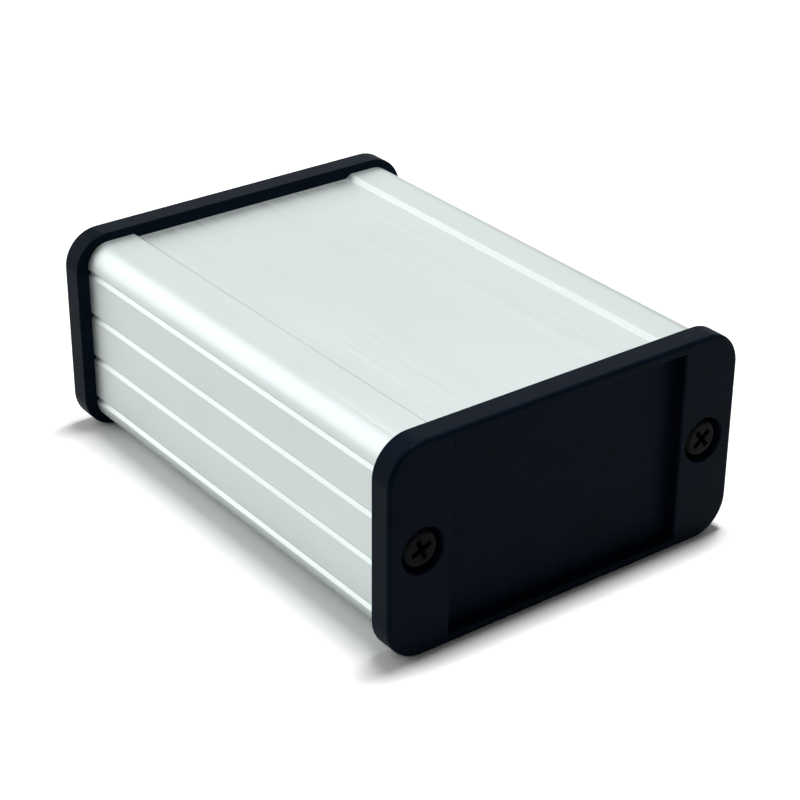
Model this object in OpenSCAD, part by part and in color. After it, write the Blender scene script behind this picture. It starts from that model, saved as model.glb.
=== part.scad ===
// Extruded aluminium enclosure: one tube of extrusion closed by two moulded end panels.
// Each end panel is held by two screws that cut their thread in channels of the extrusion.
// X runs across the end panels, Y along the extrusion and Z up.
// The origin is on the ground under the middle of the box: the end panels stand on z = 0.

/* [Extruded body] */
// Length of the extrusion, from one end panel to the other
body_l = 60; // [30:1:200]
// Width over the side walls
body_w = 45.4; // [43:0.2:100]
// Height over the rails
body_h = 24; // [22.4:0.2:50]
// Radius of the four long corners
body_corner_r = 3; // [2:0.1:4]
// Thickness of the side walls
side_wall = 1.5; // [1.2:0.1:2]
// Thickness of the roof and the floor, between their rails
roof_wall = 1.3; // [1:0.1:1.8]

/* [Recess between the rails] */
// Width of the recess in the roof and in the floor, at its mouth
recess_w = 32.4; // [10:0.2:36]
// Depth of the recess
recess_depth = 0.5; // [0.2:0.1:0.8]
// How far each side of the recess leans in on its way down
recess_lean = 0.7; // [0.1:0.1:1.5]

/* [Side grooves] */
// Number of grooves in each side wall
groove_count = 4; // [1:1:4]
// Distance from one groove to the next
groove_pitch = 5.75; // [2:0.05:5.9]
// Width of a groove at its mouth
groove_w = 0.9; // [0.3:0.1:1.5]
// Depth of a groove
groove_depth = 0.35; // [0.1:0.05:0.6]

/* [Board slots] */
// Gap of a slot, for a circuit board of 1.6
slot_gap = 1.8; // [1.2:0.1:2.2]
// Height of a slot's middle above, or below, the middle of the body
slot_offset = 5.2; // [4.9:0.1:5.5]
// Thickness of the two ribs beside a slot
slot_rib_t = 0.9; // [0.6:0.1:1.1]
// How far the ribs stand out of the side wall
slot_rib_l = 1.6; // [1:0.1:3]

/* [Screw channels] */
// Distance from the outside of a side wall to the middle of its screws
screw_inset = 2.9; // [2.8:0.1:3.6]
// Thickness of the wall round a channel
channel_wall = 1.1; // [0.8:0.1:1.3]
// Width of the slit that opens a channel to the inside
channel_slit = 1; // [0.4:0.1:1.6]
// Clearance all round the core of a screw in its channel
core_gap = 0.05; // [0.02:0.01:0.1]

/* [End panels] */
// Thickness of an end panel at its rim
panel_t = 3.15; // [3:0.05:6]
// How far the rim stands out past the side walls
panel_side = 1.5; // [0.5:0.1:4]
// How far the rim stands out past the rails
panel_top = 1; // [0.5:0.1:4]
// Radius of the rim's outer edge
panel_edge_r = 0.5; // [0.2:0.05:0.9]
// Radius of the rim's inner edge, next to the body
panel_heel_r = 0.2; // [0.1:0.05:0.4]
// Width of the label recess
label_w = 32.4; // [10:0.2:33]
// Height of the lips above and below the label recess
label_lip = 1.2; // [1:0.1:6]
// Depth of the label recess
label_depth = 1.5; // [0.5:0.1:1.6]
// Chamfer round the mouths of the label recess and the counterbores
mouth_chamfer = 0.15; // [0.05:0.05:0.2]
// Thickness of the two tongues that locate a panel inside the body
tongue_t = 1.4; // [0.8:0.1:1.6]
// How far the tongues reach into the body
tongue_l = 1.2; // [0.6:0.1:3]
// Chamfer along the tip of a tongue
tongue_chamfer = 0.4; // [0.1:0.1:0.5]
// Clearance between a tongue and the roof or the floor
tongue_gap = 0.15; // [0.05:0.05:0.3]

/* [Screws] */
// Length of a screw under its head
screw_l = 10; // [6:0.5:14]
// Outer diameter of the thread
thread_d = 2.6; // [2.4:0.1:2.8]
// Core diameter of the thread
core_d = 2.2; // [2:0.1:2.3]
// Length of the blunt tip
tip_l = 0.8; // [0.3:0.1:1.5]
// Diameter of the pan head
head_d = 4.8; // [4.2:0.1:5]
// Height of the pan head
head_h = 1.7; // [1.5:0.1:1.9]
// Radius of the head's upper edge
head_edge_r = 0.8; // [0.3:0.1:1.2]
// Width of the cross recess over two of its wings
drive_w = 2.7; // [2.2:0.1:3]
// Thickness of a wing of the cross recess
drive_t = 0.6; // [0.4:0.05:0.8]
// Depth of the cross recess
drive_depth = 1.1; // [0.6:0.1:1.2]
// Clearance all round the thread in its hole through a panel
thread_gap = 0.15; // [0.05:0.05:0.3]
// Clearance all round the head in its counterbore
head_gap = 0.3; // [0.1:0.05:0.35]
// Depth of the counterbore
cbore_depth = 2; // [1.9:0.05:2.2]
// Turn of each screw's cross: front left, front right, rear left, rear right
drive_turns = [22, 38, 9, 64]; // [0:1:90]

/* [Hidden] */
$fn = 64;

past = 0.1;                                    // how far a cut runs past the face that it opens
mid_z = body_h / 2 + panel_top;                // height of the middle of the body
cavity_w = body_w - 2 * side_wall;
cavity_h = body_h - 2 * (recess_depth + roof_wall);
cavity_corner_r = body_corner_r - side_wall;
screw_x = body_w / 2 - screw_inset;            // sideways place of the screws and their channels
channel_r = core_d / 2 + core_gap;
boss_r = channel_r + channel_wall;
panel_w = body_w + 2 * panel_side;
panel_h = body_h + 2 * panel_top;
panel_corner_r = body_corner_r + panel_side;
label_h = panel_h - 2 * label_lip;
tongue_w = cavity_w - 2 * (slot_rib_l + cavity_corner_r);
hole_r = thread_d / 2 + thread_gap;
head_r = head_d / 2;
cbore_r = head_r + head_gap;
drive_floor_w = drive_w / 2;                   // the wings taper to half their width at the bottom

silver = [0.84, 0.86, 0.86];
black_plastic = [0.05, 0.06, 0.1];
black_steel = [0.08, 0.08, 0.09];

// ---- outlines ----

module rounded_rect(w, h, r) {
    square([w, h - 2 * r], center = true);
    square([w - 2 * r, h], center = true);
    for (x = [-1, 1], y = [-1, 1])
        translate([x * (w / 2 - r), y * (h / 2 - r)]) circle(r);
}

// The left and the right of a section drawn for the right-hand side
module both_sides() {
    children();
    mirror([1, 0]) children();
}

// The top and the bottom of a section drawn for the top
module top_and_bottom() {
    children();
    mirror([0, 1]) children();
}

module recess_outline() {
    mouth = recess_w / 2;
    foot = mouth - recess_lean;
    polygon([[-mouth, body_h / 2 + past], [-mouth, body_h / 2], [-foot, body_h / 2 - recess_depth],
             [foot, body_h / 2 - recess_depth], [mouth, body_h / 2], [mouth, body_h / 2 + past]]);
}

module groove_outline() {
    face = body_w / 2;
    polygon([[face + past, groove_w / 2], [face, groove_w / 2], [face - groove_depth, 0],
             [face, -groove_w / 2], [face + past, -groove_w / 2]]);
}

module outer_outline() {
    difference() {
        rounded_rect(body_w, body_h, body_corner_r);
        top_and_bottom() recess_outline();
        both_sides()
            for (i = [0 : groove_count - 1])
                translate([0, (i - (groove_count - 1) / 2) * groove_pitch]) groove_outline();
    }
}

// Two ribs that stand out of the side wall, with a slot between them
module board_slot_outline() {
    for (y = [-1, 1])
        translate([cavity_w / 2 - slot_rib_l, slot_offset + y * (slot_gap + slot_rib_t) / 2 - slot_rib_t / 2])
            square([slot_rib_l + past, slot_rib_t]);
}

// The boss that carries a screw channel, joined to the side wall
module channel_boss_outline() {
    translate([screw_x, 0]) {
        circle(boss_r);
        translate([0, -boss_r]) square([cavity_w / 2 - screw_x + past, 2 * boss_r]);
    }
}

module channel_outline() {
    translate([screw_x, 0]) circle(channel_r);
    translate([screw_x - boss_r - past, -channel_slit / 2]) square([boss_r + past, channel_slit]);
}

module cavity_outline() {
    difference() {
        rounded_rect(cavity_w, cavity_h, cavity_corner_r);
        both_sides() {
            top_and_bottom() board_slot_outline();
            channel_boss_outline();
        }
    }
    both_sides() channel_outline();
}

// ---- the extrusion ----

module extruded_body() {
    color(silver)
        translate([0, 0, mid_z])
            rotate([90, 0, 0])
                linear_extrude(height = body_l, center = true)
                    difference() {
                        outer_outline();
                        cavity_outline();
                    }
}

// ---- an end panel: its inner face lies on z = 0 and its outer face looks along +z ----

// Half of the section through a rim, from the axis to half_w: both of its edges are rounded
module rim_section(half_w) {
    e = panel_edge_r;
    b = panel_heel_r;
    translate([0, b]) square([half_w, panel_t - e - b]);
    square([half_w - b, panel_t - e]);
    translate([0, b]) square([half_w - e, panel_t - b]);
    translate([half_w - e, panel_t - e]) circle(e);
    translate([half_w - b, b]) circle(b);
}

module rim_slab(w, l) {
    rotate([90, 0, 0])
        linear_extrude(height = l, center = true)
            both_sides() rim_section(w / 2);
}

module panel_blank() {
    rim_slab(panel_w, panel_h - 2 * panel_corner_r);
    rotate([0, 0, 90]) rim_slab(panel_h, panel_w - 2 * panel_corner_r);
    for (x = [-1, 1], y = [-1, 1])
        translate([x * (panel_w / 2 - panel_corner_r), y * (panel_h / 2 - panel_corner_r), 0])
            rotate_extrude() rim_section(panel_corner_r);
}

// A section that opens out by the chamfer at the outer face
module mouth_section(w, depth) {
    c = mouth_chamfer;
    polygon([[-w / 2, panel_t - depth], [w / 2, panel_t - depth], [w / 2, panel_t - c], [w / 2 + c, panel_t],
             [w / 2 + c, panel_t + past], [-w / 2 - c, panel_t + past], [-w / 2 - c, panel_t],
             [-w / 2, panel_t - c]]);
}

module label_recess() {
    intersection() {
        rotate([90, 0, 0])
            linear_extrude(height = panel_h, center = true) mouth_section(label_w, label_depth);
        rotate([90, 0, 90])
            linear_extrude(height = panel_w, center = true) mouth_section(label_h, label_depth);
    }
}

module screw_hole() {
    floor_z = panel_t - cbore_depth;
    translate([0, 0, -past]) cylinder(r = hole_r, h = panel_t);
    translate([0, 0, floor_z]) cylinder(r = cbore_r, h = cbore_depth + past);
    translate([0, 0, panel_t - mouth_chamfer])
        cylinder(r1 = cbore_r, r2 = cbore_r + mouth_chamfer, h = mouth_chamfer);
}

// A tongue lies under the roof, with its tip chamfered to lead into the body
module tongue() {
    top = cavity_h / 2 - tongue_gap;
    rotate([90, 0, 90])
        linear_extrude(height = tongue_w, center = true)
            polygon([[top - tongue_t, past], [top, past], [top, tongue_chamfer - tongue_l],
                     [top - tongue_chamfer, -tongue_l], [top - tongue_t, -tongue_l]]);
}

module end_panel() {
    color(black_plastic) {
        difference() {
            panel_blank();
            label_recess();
            for (x = [-1, 1])
                translate([x * screw_x, 0, 0]) screw_hole();
        }
        tongue();
        mirror([0, 1, 0]) tongue();
    }
}

// ---- a screw: the head bears on z = 0 and the shank points along -z ----

module head_section() {
    square([head_r, head_h - head_edge_r]);
    square([head_r - head_edge_r, head_h]);
    translate([head_r - head_edge_r, head_h - head_edge_r]) circle(head_edge_r);
}

module cross_recess() {
    for (turn = [0, 90])
        rotate([90, 0, turn])
            linear_extrude(height = drive_t, center = true)
                polygon([[-drive_floor_w / 2, head_h - drive_depth], [drive_floor_w / 2, head_h - drive_depth],
                         [drive_w / 2, head_h], [drive_w / 2, head_h + past], [-drive_w / 2, head_h + past],
                         [-drive_w / 2, head_h]]);
}

module screw(turn) {
    color(black_steel)
        rotate([0, 0, turn]) {
            difference() {
                rotate_extrude() head_section();
                cross_recess();
            }
            translate([0, 0, -screw_l]) {
                translate([0, 0, tip_l]) cylinder(d = core_d, h = screw_l - tip_l);
                cylinder(d1 = core_d / 2, d2 = core_d, h = tip_l);
            }
        }
}

// ---- placing ----

// The front end looks along -Y, the rear end along +Y
module at_end(front) {
    translate([0, (front ? -1 : 1) * body_l / 2, mid_z])
        rotate([90, 0, front ? 0 : 180]) children();
}

// side is -1 for the left and 1 for the right, both as seen from the front
module screw_at(front, side, turn) {
    at_end(front)
        translate([(front ? side : -side) * screw_x, 0, panel_t - cbore_depth]) screw(turn);
}

extruded_body();
at_end(true) end_panel();  // front_panel
at_end(false) end_panel();  // rear_panel
screw_at(true, -1, drive_turns[0]);  // front_screw_left
screw_at(true, 1, drive_turns[1]);  // front_screw_right
screw_at(false, -1, drive_turns[2]);  // rear_screw_left
screw_at(false, 1, drive_turns[3]);  // rear_screw_right
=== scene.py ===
import math

import bpy
from bpy.props import FloatProperty, FloatVectorProperty, IntProperty, PointerProperty
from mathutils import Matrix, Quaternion, Vector


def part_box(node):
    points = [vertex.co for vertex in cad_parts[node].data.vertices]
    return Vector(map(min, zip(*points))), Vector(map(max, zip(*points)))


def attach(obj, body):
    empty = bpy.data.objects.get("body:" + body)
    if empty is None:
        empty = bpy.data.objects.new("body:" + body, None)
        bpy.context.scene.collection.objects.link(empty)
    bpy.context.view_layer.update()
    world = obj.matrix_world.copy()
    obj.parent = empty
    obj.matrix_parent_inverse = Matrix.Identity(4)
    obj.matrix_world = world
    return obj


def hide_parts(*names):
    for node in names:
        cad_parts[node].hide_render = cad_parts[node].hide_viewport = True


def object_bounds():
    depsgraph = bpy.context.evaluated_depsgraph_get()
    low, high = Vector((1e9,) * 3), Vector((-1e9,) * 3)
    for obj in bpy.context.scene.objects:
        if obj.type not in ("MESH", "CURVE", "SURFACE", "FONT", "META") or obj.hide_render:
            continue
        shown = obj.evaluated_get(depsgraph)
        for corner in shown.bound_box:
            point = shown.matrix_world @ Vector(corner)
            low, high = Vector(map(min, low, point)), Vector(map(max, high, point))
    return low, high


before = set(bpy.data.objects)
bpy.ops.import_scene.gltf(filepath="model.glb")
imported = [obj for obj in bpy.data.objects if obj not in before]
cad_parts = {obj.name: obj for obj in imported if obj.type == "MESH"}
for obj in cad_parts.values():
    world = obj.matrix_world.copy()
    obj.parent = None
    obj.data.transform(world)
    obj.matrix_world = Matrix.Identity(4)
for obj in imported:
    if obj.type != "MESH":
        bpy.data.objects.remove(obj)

bl_info = {
    "name": "Extruded Enclosure",
    "version": (1, 0, 0),
    "blender": (4, 5, 0),
    "location": "View3D > Sidebar > Enclosure",
    "description": "Dresses an extruded aluminium enclosure with moulded end panels",
    "category": "Object",
}

CAD_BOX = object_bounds()
MM = 0.001
SCREWS = ["front_screw_left", "front_screw_right", "rear_screw_left", "rear_screw_right"]
PANELS = ["front_panel", "rear_panel"]
BODY = "extruded_body"

# Faces and corners of a CAD mesh closer than these are one
WELD = 0.0005          # millimetres
FLAT = math.radians(0.3)
# Edges that turn by more than this are rounded, and by more than the next stay crisp
SHARP = math.radians(30)
CRISP = math.radians(38)


# ---------------------------------------------------------------- settings

class ExtrusionSettings(bpy.types.PropertyGroup):
    colour: FloatVectorProperty(
        name="Colour", description="Clear anodised aluminium", subtype="COLOR",
        size=3, min=0, max=1, default=(0.795, 0.865, 0.855))
    roughness: FloatProperty(
        name="Roughness", description="Blur of the satin finish", min=0, max=1, default=0.48)
    edge_width: FloatProperty(
        name="Edge", description="Rounding that the die leaves on every long edge",
        unit="LENGTH", default=0.07 * MM)
    end_chamfer: FloatProperty(
        name="End chamfer", description="Deburred edge at the two sawn ends",
        unit="LENGTH", default=0.2 * MM)
    grain_depth: FloatProperty(
        name="Grain depth", description="Height of the etched grain and the die lines",
        unit="LENGTH", default=0.004 * MM)


class PanelSettings(bpy.types.PropertyGroup):
    colour: FloatVectorProperty(
        name="Colour", description="Black plastic with a blue cast", subtype="COLOR",
        size=3, min=0, max=1, default=(0.0028, 0.0056, 0.0122))
    roughness: FloatProperty(
        name="Roughness", description="Blur of the moulded finish", min=0, max=1, default=0.42)
    specular: FloatProperty(
        name="Specular", description="Strength of the surface reflection", min=0, max=1,
        default=0.05)
    specular_tint: FloatVectorProperty(
        name="Specular tint", description="Colour of the surface reflection", subtype="COLOR",
        size=3, min=0, max=1, default=(0.3, 0.7, 1.0))
    edge_width: FloatProperty(
        name="Edge", description="Rounding of every moulded edge", unit="LENGTH",
        default=0.08 * MM)
    texture_depth: FloatProperty(
        name="Texture depth", description="Height of the fine moulded texture",
        unit="LENGTH", default=0.012 * MM)


class ScrewSettings(bpy.types.PropertyGroup):
    colour: FloatVectorProperty(
        name="Colour", description="Blackened steel", subtype="COLOR",
        size=3, min=0, max=1, default=(0.0016, 0.0022, 0.0036))
    roughness: FloatProperty(
        name="Roughness", description="Blur of the blackened steel", min=0, max=1, default=0.22)
    specular: FloatProperty(
        name="Specular", description="Strength of the surface reflection", min=0, max=1,
        default=0.06)
    grain_depth: FloatProperty(
        name="Grain depth", description="Height of the oxide's grain", unit="LENGTH",
        default=0.003 * MM)
    edge_width: FloatProperty(
        name="Edge", description="Rounding of the head's and the cross's edges",
        unit="LENGTH", default=0.05 * MM)
    thread_radius: FloatProperty(
        name="Thread radius", description="Outer radius of the thread", unit="LENGTH",
        default=1.3 * MM)
    core_radius: FloatProperty(
        name="Core radius", description="Radius at the foot of the thread", unit="LENGTH",
        default=1.1 * MM)
    pitch: FloatProperty(
        name="Pitch", description="Distance from one thread to the next", unit="LENGTH",
        default=0.9 * MM)
    turns: IntProperty(name="Turns", description="Turns of the thread", min=1, default=9)
    plain_length: FloatProperty(
        name="Plain length", description="Shank without a thread, under the head",
        unit="LENGTH", default=0.5 * MM)
    head_height: FloatProperty(
        name="Head height", description="Height of the pan head", unit="LENGTH",
        default=1.7 * MM)


class StageSettings(bpy.types.PropertyGroup):
    azimuth: FloatProperty(
        name="Azimuth", description="Direction of the camera round the box", subtype="ANGLE",
        default=math.radians(-36.94))
    elevation: FloatProperty(
        name="Elevation", description="Height of the camera above the horizon",
        subtype="ANGLE", default=math.radians(28.34))
    roll: FloatProperty(
        name="Roll", description="Turn of the camera about its own axis", subtype="ANGLE",
        default=math.radians(0.40))
    distance: FloatProperty(
        name="Distance", description="From the camera to the point it aims at",
        unit="LENGTH", default=259.5 * MM)
    aim: FloatVectorProperty(
        name="Aim", description="Aim point, from the middle of the box", subtype="TRANSLATION",
        size=3, default=(0.60 * MM, -1.83 * MM, -2.44 * MM))
    lens: FloatProperty(
        name="Lens", description="Focal length in millimetres", min=1, default=98.55)
    floor_colour: FloatVectorProperty(
        name="Floor", description="Colour of the floor", subtype="COLOR",
        size=3, min=0, max=1, default=(0.84, 0.84, 0.83))
    floor_white: FloatProperty(
        name="Floor white", description="How white the camera sees the floor", min=0,
        default=1.4)
    floor_size: FloatProperty(
        name="Floor size", description="Side of the floor", unit="LENGTH", default=4.0)
    lamp_distance: FloatProperty(
        name="Lamp distance", description="From the middle of the box to each lamp",
        unit="LENGTH", default=0.8)
    sky: FloatProperty(
        name="Sky", description="Strength of the even light from all round", min=0,
        default=0.05)
    sky_in_gloss: FloatProperty(
        name="Sky in gloss", description="Strength of that light where metal mirrors it",
        min=0, default=0.26)


class EnclosureSettings(bpy.types.PropertyGroup):
    extrusion: PointerProperty(type=ExtrusionSettings)
    panels: PointerProperty(type=PanelSettings)
    screws: PointerProperty(type=ScrewSettings)
    stage: PointerProperty(type=StageSettings)


def settings():
    return bpy.context.scene.enclosure


# ---------------------------------------------------------------- modelling helpers

def deselect_all():
    if bpy.context.mode != "OBJECT":
        bpy.ops.object.mode_set(mode="OBJECT")
    bpy.ops.object.select_all(action="DESELECT")


def make_active(piece):
    deselect_all()
    piece.select_set(True)
    bpy.context.view_layer.objects.active = piece


def scale_mesh(piece, factor):
    """Scales a mesh about the origin, so that it can be worked on in millimetres."""
    make_active(piece)
    piece.scale = (factor,) * 3
    bpy.ops.object.transform_apply(location=False, rotation=False, scale=True)


def welded_copy(node, name):
    """A copy of a CAD node in millimetres, with its loose triangles welded into flat faces."""
    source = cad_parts[node]
    piece = source.copy()
    piece.data = source.data.copy()
    piece.name = piece.data.name = name
    for key in list(piece.keys()):
        del piece[key]
    piece.parent = None
    bpy.context.collection.objects.link(piece)
    scale_mesh(piece, 1 / MM)
    bpy.ops.mesh.customdata_custom_splitnormals_clear()
    bpy.ops.object.mode_set(mode="EDIT")
    bpy.ops.mesh.select_all(action="SELECT")
    bpy.ops.mesh.remove_doubles(threshold=WELD)
    bpy.ops.mesh.dissolve_limited(angle_limit=FLAT)
    bpy.ops.object.mode_set(mode="OBJECT")
    return piece


def apply_modifiers(piece):
    make_active(piece)
    for modifier in list(piece.modifiers):
        bpy.ops.object.modifier_apply(modifier=modifier.name)


def round_edges(piece, width):
    """Rounds the sharp edges. The width is in millimetres."""
    bevel = piece.modifiers.new("edges", "BEVEL")
    bevel.width = width
    bevel.segments = 2
    bevel.limit_method = "ANGLE"
    bevel.angle_limit = SHARP
    apply_modifiers(piece)


def smooth(piece):
    make_active(piece)
    bpy.ops.object.shade_smooth_by_angle(angle=CRISP)
    weighted = piece.modifiers.new("normals", "WEIGHTED_NORMAL")
    weighted.keep_sharp = True
    apply_modifiers(piece)


def finish_piece(piece, material, slot, *nodes):
    """Back to metres, then coloured, put on the part's body and shown instead of its nodes."""
    scale_mesh(piece, MM)
    piece.data.materials.clear()
    piece.data.materials.append(material)
    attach(piece, "root")
    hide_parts(*nodes)


# ---------------------------------------------------------------- materials

class NodeTree:
    """Short names for building a material out of nodes."""

    def __init__(self, name):
        self.material = bpy.data.materials.new(name)
        self.material.use_nodes = True
        self.tree = self.material.node_tree
        self.shader = self.tree.nodes["Principled BSDF"]
        self.place = self.add("ShaderNodeTexCoord").outputs["Object"]

    def add(self, kind, **values):
        node = self.tree.nodes.new(kind)
        for key, value in values.items():
            setattr(node, key, value)
        return node

    def link(self, output, target):
        self.tree.links.new(output, target)

    def stretched(self, scale):
        mapping = self.add("ShaderNodeMapping")
        mapping.inputs["Scale"].default_value = scale
        self.link(self.place, mapping.inputs["Vector"])
        return mapping.outputs["Vector"]

    def noise(self, per_metre, detail=2.0, roughness=0.5, stretch=None):
        """Noise with so many specks to the metre, drawn out along an axis by a small factor."""
        node = self.add("ShaderNodeTexNoise")
        node.inputs["Scale"].default_value = per_metre
        node.inputs["Detail"].default_value = detail
        node.inputs["Roughness"].default_value = roughness
        self.link(self.stretched(stretch) if stretch else self.place, node.inputs["Vector"])
        return node.outputs["Fac"]

    def ramp(self, factor, low, high, low_at, high_at):
        """Runs from one value to another while the factor runs between two levels."""
        node = self.add("ShaderNodeMapRange")
        node.inputs["From Min"].default_value = low_at
        node.inputs["From Max"].default_value = high_at
        node.inputs["To Min"].default_value = low
        node.inputs["To Max"].default_value = high
        self.link(factor, node.inputs["Value"])
        return node.outputs["Result"]

    def tint(self, factor, dark, light):
        node = self.add("ShaderNodeMix", data_type="RGBA")
        node.inputs["A"].default_value = (*dark, 1)
        node.inputs["B"].default_value = (*light, 1)
        self.link(factor, node.inputs["Factor"])
        return node.outputs["Result"]

    def bump(self, height, distance, strength=1.0, normal=None):
        node = self.add("ShaderNodeBump")
        node.inputs["Distance"].default_value = distance
        node.inputs["Strength"].default_value = strength
        self.link(height, node.inputs["Height"])
        if normal:
            self.link(normal, node.inputs["Normal"])
        return node.outputs["Normal"]


def shaded(colour, factor):
    return tuple(channel * factor for channel in colour)


def satin_aluminium():
    """Etched and clear anodised: an even satin with faint die lines along the extrusion."""
    s = settings().extrusion
    m = NodeTree("satin_aluminium")
    die_lines = m.noise(2600, detail=3, stretch=(1.0, 0.012, 1.0))
    grain = m.noise(9000, detail=2, roughness=0.6)
    cloud = m.noise(60, detail=3)
    m.link(m.tint(m.ramp(cloud, 0, 1, 0.35, 0.65), shaded(s.colour, 0.975), s.colour),
           m.shader.inputs["Base Color"])
    m.shader.inputs["Metallic"].default_value = 1.0
    m.link(m.ramp(die_lines, s.roughness - 0.03, s.roughness + 0.03, 0.3, 0.7),
           m.shader.inputs["Roughness"])
    lines = m.bump(die_lines, s.grain_depth, 0.35)
    m.link(m.bump(grain, s.grain_depth, 0.5, lines), m.shader.inputs["Normal"])
    return m.material


def textured_plastic():
    """Black plastic with the fine texture of an eroded mould."""
    s = settings().panels
    m = NodeTree("textured_plastic")
    grain = m.noise(5200, detail=2, roughness=0.55)
    cloud = m.noise(220, detail=4)
    m.link(m.tint(m.ramp(cloud, 0, 1, 0.3, 0.7), shaded(s.colour, 0.8), shaded(s.colour, 1.2)),
           m.shader.inputs["Base Color"])
    m.link(m.ramp(grain, s.roughness - 0.05, s.roughness + 0.08, 0.3, 0.7),
           m.shader.inputs["Roughness"])
    m.shader.inputs["Specular IOR Level"].default_value = s.specular
    m.shader.inputs["Specular Tint"].default_value = (*s.specular_tint, 1)
    m.link(m.bump(grain, s.texture_depth, 0.6), m.shader.inputs["Normal"])
    return m.material


def black_oxide():
    """Black oxide: dark, a little glossy and slightly uneven."""
    s = settings().screws
    m = NodeTree("black_oxide")
    cloud = m.noise(900, detail=4)
    grain = m.noise(12000, detail=2)
    m.link(m.tint(m.ramp(cloud, 0, 1, 0.35, 0.65), shaded(s.colour, 0.7), shaded(s.colour, 1.6)),
           m.shader.inputs["Base Color"])
    m.link(m.ramp(cloud, s.roughness - 0.06, s.roughness + 0.08, 0.3, 0.7),
           m.shader.inputs["Roughness"])
    m.shader.inputs["Specular IOR Level"].default_value = s.specular
    m.link(m.bump(grain, s.grain_depth, 0.5), m.shader.inputs["Normal"])
    return m.material


def finish_of(make):
    """The material that a function makes, made once."""
    return bpy.data.materials.get(make.__name__) or make()


# ---------------------------------------------------------------- operators

class ENCLOSURE_OT_extrusion(bpy.types.Operator):
    """Dress the extrusion: rounded die edges and deburred ends in satin aluminium"""
    bl_idname = "enclosure.extrusion"
    bl_label = "Extruded Body"

    def execute(self, context):
        s = settings().extrusion
        piece = welded_copy(BODY, "body_extrusion")
        low, high = (corner.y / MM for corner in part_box(BODY))
        weights = piece.data.attributes.new("bevel_weight_edge", "FLOAT", "EDGE")
        small = s.edge_width / s.end_chamfer
        corners = piece.data.vertices
        for edge in piece.data.edges:
            ends = [corners[i].co.y for i in edge.vertices]
            at_end = any(all(abs(y - cut) < 2 * WELD for y in ends) for cut in (low, high))
            weights.data[edge.index].value = 1.0 if at_end else small
        self.bevel_by_weight(piece, s.end_chamfer / MM)
        smooth(piece)
        finish_piece(piece, finish_of(satin_aluminium), "anodised_aluminium", BODY)
        return {"FINISHED"}

    @staticmethod
    def bevel_by_weight(piece, width):
        """Rounds sharp edges, each by its own share of the width; edges within a curve stay."""
        make_active(piece)
        bpy.ops.object.mode_set(mode="EDIT")
        bpy.ops.mesh.select_mode(type="EDGE")
        bpy.ops.mesh.select_all(action="DESELECT")
        bpy.ops.mesh.edges_select_sharp(sharpness=SHARP)
        bpy.ops.mesh.select_all(action="INVERT")
        bpy.ops.object.mode_set(mode="OBJECT")
        weights = piece.data.attributes["bevel_weight_edge"]
        for edge in piece.data.edges:
            if edge.select:
                weights.data[edge.index].value = 0.0
        bevel = piece.modifiers.new("edges", "BEVEL")
        bevel.width = width
        bevel.segments = 2
        bevel.limit_method = "WEIGHT"
        apply_modifiers(piece)


class ENCLOSURE_OT_end_panels(bpy.types.Operator):
    """Dress the two end panels: softened edges in textured black plastic"""
    bl_idname = "enclosure.end_panels"
    bl_label = "End Panels"

    def execute(self, context):
        for node in PANELS:
            piece = welded_copy(node, node + "_moulding")
            round_edges(piece, settings().panels.edge_width / MM)
            smooth(piece)
            finish_piece(piece, finish_of(textured_plastic), "moulded_plastic", node)
        return {"FINISHED"}


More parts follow.
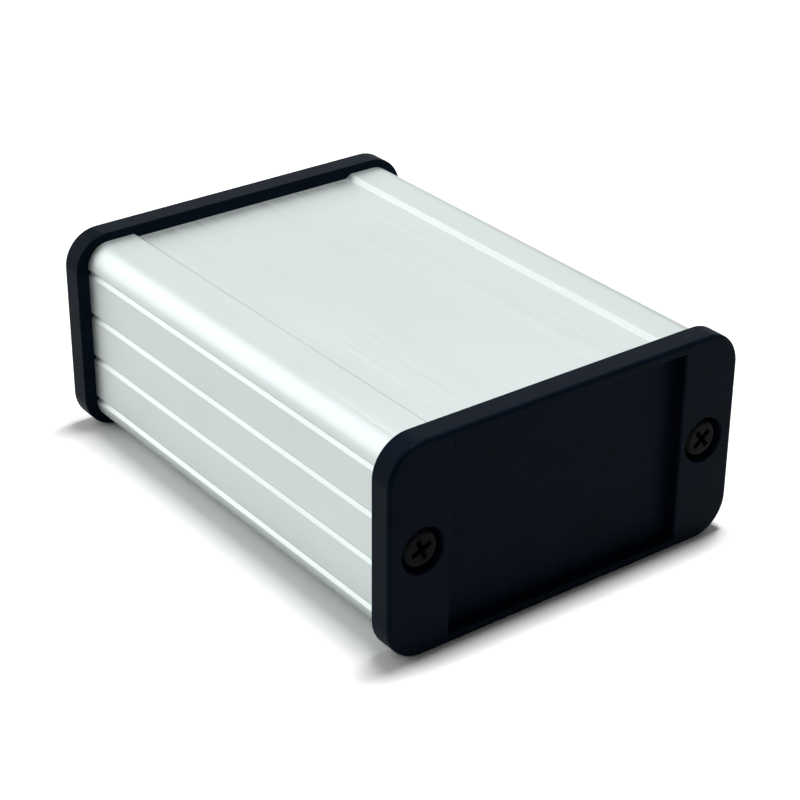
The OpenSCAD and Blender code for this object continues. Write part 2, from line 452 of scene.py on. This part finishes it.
class ENCLOSURE_OT_screws(bpy.types.Operator):
    """Dress the four screws: rounded heads and a thread along each shank"""
    bl_idname = "enclosure.screws"
    bl_label = "Screws"

    STEPS = 24             # flats in one turn of the thread
    HALF_FOOT = 0.3        # half the width of the ridge's foot, as a share of the pitch
    SUNK = 0.04            # how far the foot lies inside the core, in millimetres
    FADE = 0.5             # turns over which each end of the ridge grows out of the core
    LEAST = 0.1            # share of its height that is left at the very end

    def execute(self, context):
        s = settings().screws
        for node in SCREWS:
            piece = welded_copy(node, node + "_threaded")
            round_edges(piece, s.edge_width / MM)
            self.cut_thread(piece, node)
            smooth(piece)
            finish_piece(piece, finish_of(black_oxide), "blackened_steel", node)
        return {"FINISHED"}

    def cut_thread(self, piece, node):
        """Winds a thread round the shank, from just above the tip to just below the head."""
        s = settings().screws
        ridge = self.thread_ridge(s)
        low, high = (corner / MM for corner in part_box(node))
        side = -1 if low.y < 0 else 1          # the end of the box that the head looks from
        outer = low.y if side < 0 else high.y
        make_active(ridge)
        ridge.rotation_euler.x = math.radians(-90 * side)
        ridge.location = ((low.x + high.x) / 2, outer - side * s.head_height / MM,
                          (low.z + high.z) / 2)
        bpy.ops.object.transform_apply(location=True, rotation=True, scale=False)
        join = piece.modifiers.new("thread", "BOOLEAN")
        join.operation = "UNION"
        join.solver = "EXACT"
        join.object = ridge
        apply_modifiers(piece)
        bpy.data.objects.remove(ridge)

    @classmethod
    def thread_ridge(cls, s):
        """A helical ridge with a triangular section round the Z axis, below z = 0."""
        deselect_all()
        bpy.ops.mesh.primitive_circle_add(vertices=3, radius=1, fill_type="NOTHING")
        ridge = bpy.context.object
        ridge.name = "thread_ridge"
        foot, crest, pitch = s.core_radius / MM - cls.SUNK, s.thread_radius / MM, s.pitch / MM
        bottom = -s.plain_length / MM - s.turns * pitch
        flank = cls.HALF_FOOT * pitch
        section = [(foot, bottom - flank), (crest, bottom), (foot, bottom + flank)]
        for corner, (radius, height) in zip(ridge.data.vertices, section):
            corner.co = (radius, 0, height)
        helix = ridge.modifiers.new("helix", "SCREW")
        helix.steps = helix.render_steps = cls.STEPS
        helix.iterations = s.turns
        helix.screw_offset = pitch
        apply_modifiers(ridge)
        for corner in ridge.data.vertices:
            radius = corner.co.xy.length
            if radius > (foot + crest) / 2:
                wound = (corner.co.z - bottom) / pitch
                share = min(1, wound / cls.FADE, (s.turns - wound) / cls.FADE)
                corner.co.xy *= (foot + (crest - foot) * max(share, cls.LEAST)) / radius
        bpy.ops.object.mode_set(mode="EDIT")
        bpy.ops.mesh.select_all(action="SELECT")
        bpy.ops.mesh.fill_holes(sides=3)
        bpy.ops.mesh.normals_make_consistent(inside=False)
        bpy.ops.object.mode_set(mode="OBJECT")
        return ridge


class ENCLOSURE_OT_stage(bpy.types.Operator):
    """Set the floor, the light and the camera"""
    bl_idname = "enclosure.stage"
    bl_label = "Stage"

    # name, bearing clockwise from the back, height and turn in degrees, width, height, radiance
    SOFTBOXES = [
        ("key", -34, 25, 0, 0.92, 0.88, 1.26),
        ("back", 38, 25, 0, 0.60, 0.46, 0.64),
        ("overhead", 77, 83, -13, 0.10, 0.22, 68.0),
        ("glint", 172, 38, 0, 0.03, 0.03, 60.0),
    ]

    def execute(self, context):
        self.add_floor()
        self.add_sky()
        for softbox in self.SOFTBOXES:
            self.add_softbox(*softbox)
        self.add_camera()
        context.scene.view_settings.view_transform = "Standard"
        return {"FINISHED"}

    @staticmethod
    def add_floor():
        """A pale floor, which only the camera sees as white."""
        deselect_all()
        s = settings().stage
        bpy.ops.mesh.primitive_plane_add(size=s.floor_size, location=(0, 0, CAD_BOX[0].z))
        floor = bpy.context.object
        floor.name = "studio_ground"
        m = NodeTree("studio_ground")
        tree = m.tree
        tree.nodes.remove(m.shader)
        seen = m.add("ShaderNodeBsdfDiffuse")
        seen.inputs["Color"].default_value = (s.floor_white,) * 3 + (1,)
        real = m.add("ShaderNodeBsdfDiffuse")
        real.inputs["Color"].default_value = (*s.floor_colour, 1)
        mix = m.add("ShaderNodeMixShader")
        ray = m.add("ShaderNodeLightPath")
        m.link(ray.outputs["Is Camera Ray"], mix.inputs["Fac"])
        m.link(real.outputs["BSDF"], mix.inputs[1])
        m.link(seen.outputs["BSDF"], mix.inputs[2])
        m.link(mix.outputs["Shader"], tree.nodes["Material Output"].inputs["Surface"])
        floor.data.materials.append(m.material)

    @staticmethod
    def add_sky():
        """Weak even light, which metal mirrors more brightly and the camera sees as white."""
        world = bpy.data.worlds.new("studio")
        bpy.context.scene.world = world
        world.use_nodes = True
        tree, s = world.node_tree, settings().stage
        background = tree.nodes["Background"]
        background.inputs["Color"].default_value = (1, 1, 1, 1)
        ray = tree.nodes.new("ShaderNodeLightPath")
        in_gloss = tree.nodes.new("ShaderNodeMapRange")
        in_gloss.inputs["To Min"].default_value = s.sky
        in_gloss.inputs["To Max"].default_value = s.sky_in_gloss
        to_camera = tree.nodes.new("ShaderNodeMapRange")
        to_camera.inputs["To Max"].default_value = 1.0
        tree.links.new(ray.outputs["Is Glossy Ray"], in_gloss.inputs["Value"])
        tree.links.new(ray.outputs["Is Camera Ray"], to_camera.inputs["Value"])
        tree.links.new(in_gloss.outputs["Result"], to_camera.inputs["To Min"])
        tree.links.new(to_camera.outputs["Result"], background.inputs["Strength"])

    @staticmethod
    def add_softbox(name, bearing, height, turn, across, up, glow):
        """A rectangular lamp, turned to the middle of the box. Its sizes are in metres."""
        lamp = bpy.data.lights.new(name, "AREA")
        lamp.shape = "RECTANGLE"
        lamp.size, lamp.size_y = across, up
        lamp.energy = glow * math.pi * across * up
        holder = bpy.data.objects.new(name, lamp)
        bpy.context.scene.collection.objects.link(holder)
        bearing, height = math.radians(bearing), math.radians(height)
        away = Vector((math.sin(bearing) * math.cos(height),
                       math.cos(bearing) * math.cos(height), math.sin(height)))
        holder.location = (CAD_BOX[0] + CAD_BOX[1]) / 2 + away * settings().stage.lamp_distance
        holder.rotation_mode = "QUATERNION"
        spin = Quaternion((0, 0, 1), math.radians(turn))
        holder.rotation_quaternion = away.to_track_quat("Z", "Y") @ spin

    @staticmethod
    def add_camera():
        s = settings().stage
        camera = bpy.data.objects.new("camera", bpy.data.cameras.new("camera"))
        bpy.context.scene.collection.objects.link(camera)
        camera.data.lens = s.lens
        camera.data.clip_start = 0.01
        back = Vector((math.sin(s.azimuth) * math.cos(s.elevation),
                       -math.cos(s.azimuth) * math.cos(s.elevation), math.sin(s.elevation)))
        middle = (CAD_BOX[0] + CAD_BOX[1]) / 2
        camera.location = middle + Vector(s.aim) + back * s.distance
        camera.rotation_mode = "QUATERNION"
        level = (-back).to_track_quat("-Z", "Y")
        camera.rotation_quaternion = level @ Quaternion((0, 0, 1), s.roll)
        bpy.context.scene.camera = camera


class ENCLOSURE_PT_sidebar(bpy.types.Panel):
    """Lists the pieces and the stage"""
    bl_idname = "ENCLOSURE_PT_sidebar"
    bl_label = "Enclosure"
    bl_space_type = "VIEW_3D"
    bl_region_type = "UI"
    bl_category = "Enclosure"

    def draw(self, context):
        groups = [("extrusion", ENCLOSURE_OT_extrusion), ("panels", ENCLOSURE_OT_end_panels),
                  ("screws", ENCLOSURE_OT_screws), ("stage", ENCLOSURE_OT_stage)]
        for name, operator in groups:
            box = self.layout.box()
            box.operator(operator.bl_idname)
            values = getattr(context.scene.enclosure, name)
            for key in values.__annotations__:
                box.prop(values, key)


CLASSES = [ExtrusionSettings, PanelSettings, ScrewSettings, StageSettings, EnclosureSettings,
           ENCLOSURE_OT_extrusion, ENCLOSURE_OT_end_panels, ENCLOSURE_OT_screws,
           ENCLOSURE_OT_stage, ENCLOSURE_PT_sidebar]


def register():
    for cls in CLASSES:
        bpy.utils.register_class(cls)
    bpy.types.Scene.enclosure = PointerProperty(type=EnclosureSettings)


def unregister():
    del bpy.types.Scene.enclosure
    for cls in reversed(CLASSES):
        bpy.utils.unregister_class(cls)


def main():
    register()
    bpy.ops.enclosure.stage()
    bpy.ops.enclosure.extrusion()
    bpy.ops.enclosure.end_panels()
    bpy.ops.enclosure.screws()


if __name__ == "__main__":
    main()
